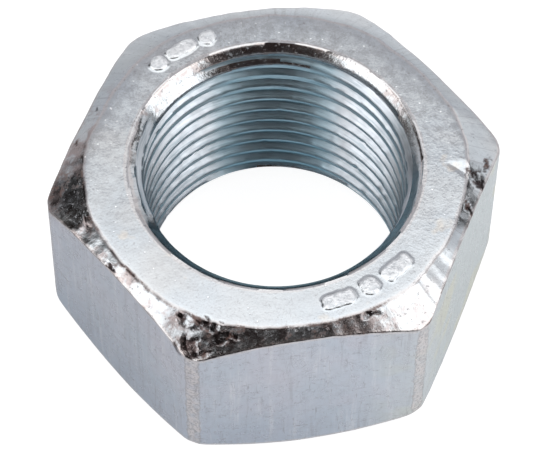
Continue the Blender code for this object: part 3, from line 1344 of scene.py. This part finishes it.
@dataclass(frozen=True)
class ThreadFinish(PlatedFinish):
    """The cut thread, with tool lines that run around the bore, and a painted teal tint of reflection on
    its far side.
    """

    pale: Colour = (0.74, 0.80, 0.84, 1.0)
    rosy: Colour = (0.50, 0.525, 0.555, 1.0)
    rosy_patches: Patches = Patches(0.3, 0.55, 0.68, 0.5, roughness=0.6)
    # Painted reflection: a teal tint for the far side of the bore.
    painted_far_tint: Colour = (0.88, 1.10, 1.17, 1.0)
    line_pitch: float = 5.0
    line_depth: float = 0.012

    def detail(self, graph: Graph, places: Any, speckle: Any, tinted: Any) -> tuple[Any, Any, Any]:
        """Add the tool lines and the painted tint on the far side; the arguments and results are those of
        the plain skin.
        """
        _, rough, height = super().detail(graph, places, speckle, tinted)
        across = graph.node(
            "ShaderNodeCombineXYZ",
            {"Z": graph.product(places.outputs["Height"], self.line_pitch),
             "X": graph.product(places.outputs["Radius"], self.line_pitch)},
        ).outputs[0]
        upright = graph.vector("ADD", self.around(graph, places, 3.0), across).outputs[0]
        lines = graph.noise(upright, 1.0, 3.0, 0.65)
        colour = graph.tint(tinted, self.dark, graph.step(lines, 0.48, 0.66, 0.0, 0.5))
        colour = graph.tint(colour, self.pale, graph.step(lines, 0.42, 0.3, 0.0, 0.4))
        colour = graph.tint(colour, self.rosy, self.rosy_patches.mask(graph, places.outputs["Millimetres"]))
        # Painted reflection: the far side of the bore is tinted teal, standing in for the bluish light it
        # reflects.
        far = self.towards(graph, places, 80.0, 0.84, 0.95)
        colour = graph.blend(far, colour, self.painted_far_tint, "MULTIPLY")
        return colour, rough, graph.add(height, lines, self.line_depth)


def finishes(sizes: NutSizes) -> dict[Zone, PlatedFinish]:
    """Give the finish of each zone of the skin.

    Args:
        sizes: The nut's sizes, which place the marks' level and the corner bands.

    Returns:
        A finish for each zone.
    """
    return {
        Zone.FACE: FaceFinish(
            "zinc_face", mark_level=sizes.height + sizes.mark_height / 2.0, grain=0.2,
            rubbed_sheen_share=0.35
        ),
        Zone.CHAMFER: ChamferFinish("zinc_chamfer", roughness=(0.13, 0.24), grain=0.3),
        Zone.FLAT: FlatFinish(
            "zinc_flat", zinc=(0.575, 0.60, 0.66, 1.0), cool=(0.50, 0.565, 0.63, 1.0),
            warm=(0.60, 0.585, 0.64, 1.0), roughness=(0.26, 0.36), grain=0.25, grain_depth=0.003,
            corner_radius=sizes.corner_reach - 0.065, rubbed_sheen=(0.72, 0.67, 0.65, 1.0)
        ),
        # The countersinks get painted shade, a dark teal, on their near side.
        Zone.COUNTERSINK: ChamferFinish(
            "zinc_countersink", roughness=(0.14, 0.24), grain=0.25, lump_depth=0.012,
            crinkle_depth=0.002, scale_side=90.0, scale=(0.40, 0.33, 0.31, 1.0),
            shade=(0.035, 0.06, 0.075, 1.0), painted_shade_share=0.96
        ),
        Zone.THREAD: ThreadFinish(
            "zinc_thread", zinc=(0.55, 0.585, 0.62, 1.0), cool=(0.46, 0.52, 0.57, 1.0),
            warm=(0.55, 0.57, 0.60, 1.0), roughness=(0.3, 0.4), grain=0.3, grain_depth=0.002,
            rubbed_sheen_share=0.3, dark=(0.17, 0.25, 0.29, 1.0)
        ),
    }


# ---------------------------------------------------------------- the nut


@dataclass
class HexNut:
    """The whole nut: shell and bore joined into one closed skin, with its finishes."""

    sizes: NutSizes
    marks: FaceMarks = field(default_factory=FaceMarks)

    def build(self) -> bpy.types.Object:
        """Make the nut's mesh and put it in the CAD body's place.

        Returns:
            The nut's object.
        """
        shell = HexShell(self.sizes, self.marks).build()
        bore = ThreadedBore(self.sizes).build()
        self.sort_shell(shell)
        self.sort_bore(bore)
        skin = bmesh.new()
        for part in (shell, bore):
            mesh = bpy.data.meshes.new("part")
            part.to_mesh(mesh)
            part.free()
            skin.from_mesh(mesh)
            bpy.data.meshes.remove(mesh)
        self.join(skin)
        bmesh.ops.recalc_face_normals(skin, faces=skin.faces)
        bmesh.ops.transform(skin, matrix=Matrix.Scale(MM, 4), verts=skin.verts)
        mesh = bpy.data.meshes.new("hex_nut")
        skin.to_mesh(mesh)
        skin.free()
        mesh.shade_smooth()
        mesh.set_sharp_from_angle(angle=math.radians(SHARP_DEGREES))
        nut = bpy.data.objects.new("hex_nut", mesh)
        bpy.context.scene.collection.objects.link(nut)
        return nut

    @staticmethod
    def sort_shell(shell: bmesh.types.BMesh) -> None:
        """Give each face of the shell the finish of its zone."""
        station = shell.verts.layers.float["station"]
        for face in shell.faces:
            middle = sum(point[station] for point in face.verts) / len(face.verts)
            if middle < 1.0 or middle > 4.0:
                zone = Zone.FACE
            elif 2.0 < middle < 3.0:
                zone = Zone.FLAT
            else:
                zone = Zone.CHAMFER
            face.material_index = zone.value

    @staticmethod
    def sort_bore(bore: bmesh.types.BMesh) -> None:
        """Give each face of the bore the thread's or the countersink's finish."""
        thread = bore.verts.layers.float["thread"]
        for face in bore.faces:
            share = sum(point[thread] for point in face.verts) / len(face.verts)
            face.material_index = (Zone.THREAD if share > 0.5 else Zone.COUNTERSINK).value

    def join(self, skin: bmesh.types.BMesh) -> None:
        """Bridge the bore's two rims to the shell's, on the upper and on the lower face."""
        for height in (self.sizes.height, 0.0):
            rims = [
                edge for edge in skin.edges
                if edge.is_boundary and abs(edge.verts[0].co.z - height) < 1.0
            ]
            made = bmesh.ops.bridge_loops(skin, edges=rims)
            for face in made["faces"]:
                face.material_index = Zone.FACE.value

    def dress(self, nut: bpy.types.Object, shared: SharedEffects) -> None:
        """Give the nut the finish of each zone, in the zones' order."""
        table = finishes(self.sizes)
        for zone in Zone:
            nut.data.materials.append(table[zone].build(shared))


# ---------------------------------------------------------------- studio


@dataclass(frozen=True)
class SoftPanel:
    """A panel of light or a dark flag around the table, between two turns and two lifts.

    Angles are degrees: turn is counter-clockwise from +X, lift is up from the floor.
    """

    turn: float
    half_turn: float
    low: float
    high: float
    colour: tuple[float, float, float]
    edge: float = 3.0

    def mask(self, graph: Graph, direction: Any, lift: Any) -> Any:
        """Write the panel's mask.

        Args:
            graph: The graph to write in.
            direction: Socket with the direction looked in.
            lift: Socket with the direction's lift in degrees.

        Returns:
            The mask socket.
        """
        turn = math.radians(self.turn)
        front = (math.cos(turn), math.sin(turn), 0.0)
        left = (-math.sin(turn), math.cos(turn), 0.0)
        ahead = graph.vector("DOT_PRODUCT", direction, front).outputs["Value"]
        side = graph.vector("DOT_PRODUCT", direction, left).outputs["Value"]
        off = graph.math("ABSOLUTE", graph.math("DEGREES", graph.math("ARCTAN2", side, ahead)))
        across = graph.step(off, self.half_turn + self.edge, self.half_turn - self.edge)
        above = graph.step(lift, self.low - self.edge, self.low + self.edge)
        below = graph.step(lift, self.high + self.edge, self.high - self.edge)
        return graph.product(across, above, below)


@dataclass(frozen=True)
class TableFinish:
    """The white table: what the camera sees of it, and the softer light that it throws on the nut.

    Inside the bore it is painted darker and bluish, as shade under the nut. The glow is painted light; it
    grows from left to right and fades towards the back. Places are millimetres.
    """

    name: str = "white_table"
    seen: Colour = (0.25, 0.25, 0.255, 1.0)
    seen_glow: float = 0.93
    roughness: float = 0.8
    pale: Colour = (0.50, 0.51, 0.53, 1.0)
    hue: Colour = (0.98, 0.99, 1.0, 1.0)
    # Painted shade: the table's colour, glow colour and glow inside the bore.
    bore_shade_pale: Colour = (0.20, 0.33, 0.38, 1.0)
    bore_shade_hue: Colour = (0.66, 0.93, 1.05, 1.0)
    bore_shade_glow: float = 0.75
    bore_radius: tuple[float, float] = (12.5, 11.0)
    bore_front: tuple[float, float] = (-1.0, 5.0)
    sideways: tuple[float, float] = (-32.0, 20.0)
    glow: tuple[float, float] = (0.25, 0.47)
    backwards: tuple[float, float] = (30.0, 70.0)
    back_glow: float = 0.55

    def build(self) -> bpy.types.Material:
        """Make the material.

        Returns:
            The material.
        """
        material = bpy.data.materials.new(self.name)
        material.use_nodes = True
        tree = material.node_tree
        graph = Graph(tree)
        seen = tree.nodes["Principled BSDF"]
        seen.inputs["Base Color"].default_value = self.seen
        seen.inputs["Roughness"].default_value = self.roughness
        seen.inputs["Emission Color"].default_value = (1.0, 1.0, 1.0, 1.0)
        seen.inputs["Emission Strength"].default_value = self.seen_glow
        position = graph.node("ShaderNodeTexCoord").outputs["Object"]
        place = graph.vector("MULTIPLY", position, (1.0 / MM, 1.0 / MM, 1.0 / MM)).outputs[0]
        sideways, backwards, _ = graph.node("ShaderNodeSeparateXYZ", {0: place}).outputs
        from_axis = graph.vector("LENGTH", place).outputs["Value"]
        # Painted shade: inside the bore the table is darker, bluish and glows less, as a light on the
        # thread.
        bore_shade = graph.product(
            graph.step(from_axis, *self.bore_radius), graph.step(backwards, *self.bore_front)
        )
        pale = graph.blend(bore_shade, self.pale, self.bore_shade_pale)
        lit = graph.node("ShaderNodeBsdfDiffuse", {"Color": pale})
        hue = graph.blend(bore_shade, self.hue, self.bore_shade_hue)
        glow = graph.product(
            graph.step(sideways, *self.sideways, *self.glow),
            graph.step(backwards, *self.backwards, 1.0, self.back_glow),
            graph.step(bore_shade, 0.0, 1.0, 1.0, self.bore_shade_glow),
        )
        glowing = graph.node("ShaderNodeEmission", {"Color": hue, "Strength": glow})
        lit = graph.node("ShaderNodeAddShader", {0: lit.outputs[0], 1: glowing.outputs[0]})
        graph.split_camera_rays(lit, seen, tree.nodes["Material Output"])
        return material


@dataclass
class Studio:
    """A white table in a soft white studio, with the camera above the nut's front."""

    sizes: NutSizes
    azimuth: float = -10.17
    elevation: float = 57.46
    roll: float = 0.93
    distance: float = 248.4
    lens: float = 200.8
    film_width: float = 36.0
    shift: tuple[float, float] = (0.0015, -0.0032)
    floor_reach: float = 4000.0
    floor_gap: float = 0.01
    ambient: Colour = (0.50, 0.50, 0.51, 1.0)
    backdrop: Colour = (1.0, 1.0, 1.0, 1.0)
    panels: tuple[SoftPanel, ...] = (
        SoftPanel(85.0, 62.0, -10.0, 55.5, (0.64, 0.635, 0.665), 6.0),
        SoftPanel(80.0, 180.0, 56.7, 100.0, (1.7, 1.7, 1.71), 1.2),
        SoftPanel(192.0, 25.0, 8.0, 63.0, (2.05, 2.05, 2.07)),
        SoftPanel(-27.0, 21.0, 5.0, 59.0, (2.2, 2.2, 2.22)),
        SoftPanel(4.0, 9.0, 14.0, 52.0, (0.85, 0.85, 0.88), 4.0),
        SoftPanel(31.0, 18.0, 8.0, 26.0, (0.98, 0.98, 1.0)),
        SoftPanel(39.0, 10.0, 8.0, 40.0, (0.98, 0.98, 1.0)),
        SoftPanel(141.0, 17.0, 18.0, 44.0, (0.016, 0.012, 0.010), 2.5),
        SoftPanel(19.5, 8.5, 27.5, 41.0, (0.03, 0.026, 0.025), 2.0),
        SoftPanel(-97.0, 45.0, 8.0, 58.0, (0.035, 0.026, 0.025), 2.5),
        SoftPanel(-97.0, 53.0, 58.0, 76.0, (0.035, 0.025, 0.023), 2.5),
        SoftPanel(166.0, 13.0, -10.0, 9.0, (0.06, 0.05, 0.045)),
    )

    def build(self) -> None:
        """Set up the floor, the light and the camera."""
        self.floor()
        self.light()
        self.camera()
        bpy.context.scene.view_settings.view_transform = "Standard"

    def floor(self) -> None:
        """Lay a plain pale floor under the nut, bright to look at and softer as a light on the nut."""
        bm = bmesh.new()
        below = Matrix.Translation((0.0, 0.0, -self.floor_gap * MM))
        bmesh.ops.create_grid(bm, x_segments=1, y_segments=1, size=self.floor_reach * MM, matrix=below)
        mesh = bpy.data.meshes.new("floor")
        bm.to_mesh(mesh)
        bm.free()
        floor = bpy.data.objects.new("floor", mesh)
        bpy.context.scene.collection.objects.link(floor)
        mesh.materials.append(TableFinish().build())

    def light(self) -> None:
        """Write the studio's panels and flags into the world, seen by the nut but not by the camera."""
        world = bpy.data.worlds.new("studio")
        world.use_nodes = True
        bpy.context.scene.world = world
        tree = world.node_tree
        tree.nodes.clear()
        graph = Graph(tree)
        direction = graph.node("ShaderNodeTexCoord").outputs["Generated"]
        upward = graph.node("ShaderNodeSeparateXYZ", {0: direction}).outputs[2]
        lift = graph.math("DEGREES", graph.math("ARCSINE", upward))
        colour: Any = self.ambient
        for panel in self.panels:
            colour = graph.blend(panel.mask(graph, direction, lift), colour, panel.colour + (1.0,))
        lit = graph.node("ShaderNodeBackground", {"Color": colour, "Strength": 1.0})
        seen = graph.node("ShaderNodeBackground", {"Color": self.backdrop, "Strength": 1.0})
        graph.split_camera_rays(lit, seen, graph.node("ShaderNodeOutputWorld"))

    def camera(self) -> None:
        """Place the camera on a sphere around the nut's middle, turned a little about its axis."""
        turn, lift = math.radians(self.azimuth), math.radians(self.elevation)
        back = Vector((math.sin(turn) * math.cos(lift), -math.cos(turn) * math.cos(lift), math.sin(lift)))
        right = Vector((math.cos(turn), math.sin(turn), 0.0))
        up = back.cross(right)
        axes = Matrix((right, up, back)).transposed()
        roll = Matrix.Rotation(math.radians(self.roll), 3, "Z")
        middle = Vector((0.0, 0.0, self.sizes.height / 2.0)) * MM
        data = bpy.data.cameras.new("camera")
        data.sensor_width = self.film_width
        data.lens = self.lens
        data.clip_start = 0.01
        data.shift_x, data.shift_y = self.shift
        camera = bpy.data.objects.new("camera", data)
        place = Matrix.Translation(middle + back * self.distance * MM)
        camera.matrix_world = place @ (axes @ roll).to_4x4()
        bpy.context.scene.collection.objects.link(camera)
        bpy.context.scene.camera = camera


# ---------------------------------------------------------------- main


def corners(box: tuple[Vector, Vector]) -> list[list[float]]:
    """Write a box as two plain lists of numbers."""
    return [list(corner) for corner in box]


def main() -> None:
    """Build the studio and the nut, and hang the nut on the frame."""
    logging.basicConfig(level=logging.INFO, format="%(name)s: %(message)s")
    sizes = NutSizes.from_frame(frame["record"])
    LOG.info("%.2f mm across flats, %.2f mm high", sizes.across_flats, sizes.height)
    Studio(sizes).build()
    maker = HexNut(sizes)
    nut = maker.build()
    maker.dress(nut, SharedEffects())
    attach(nut, "root")
    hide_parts(NODE)
    LOG.info("%s: %d faces", nut.name, len(nut.data.polygons))


if __name__ == "__main__":
    main()
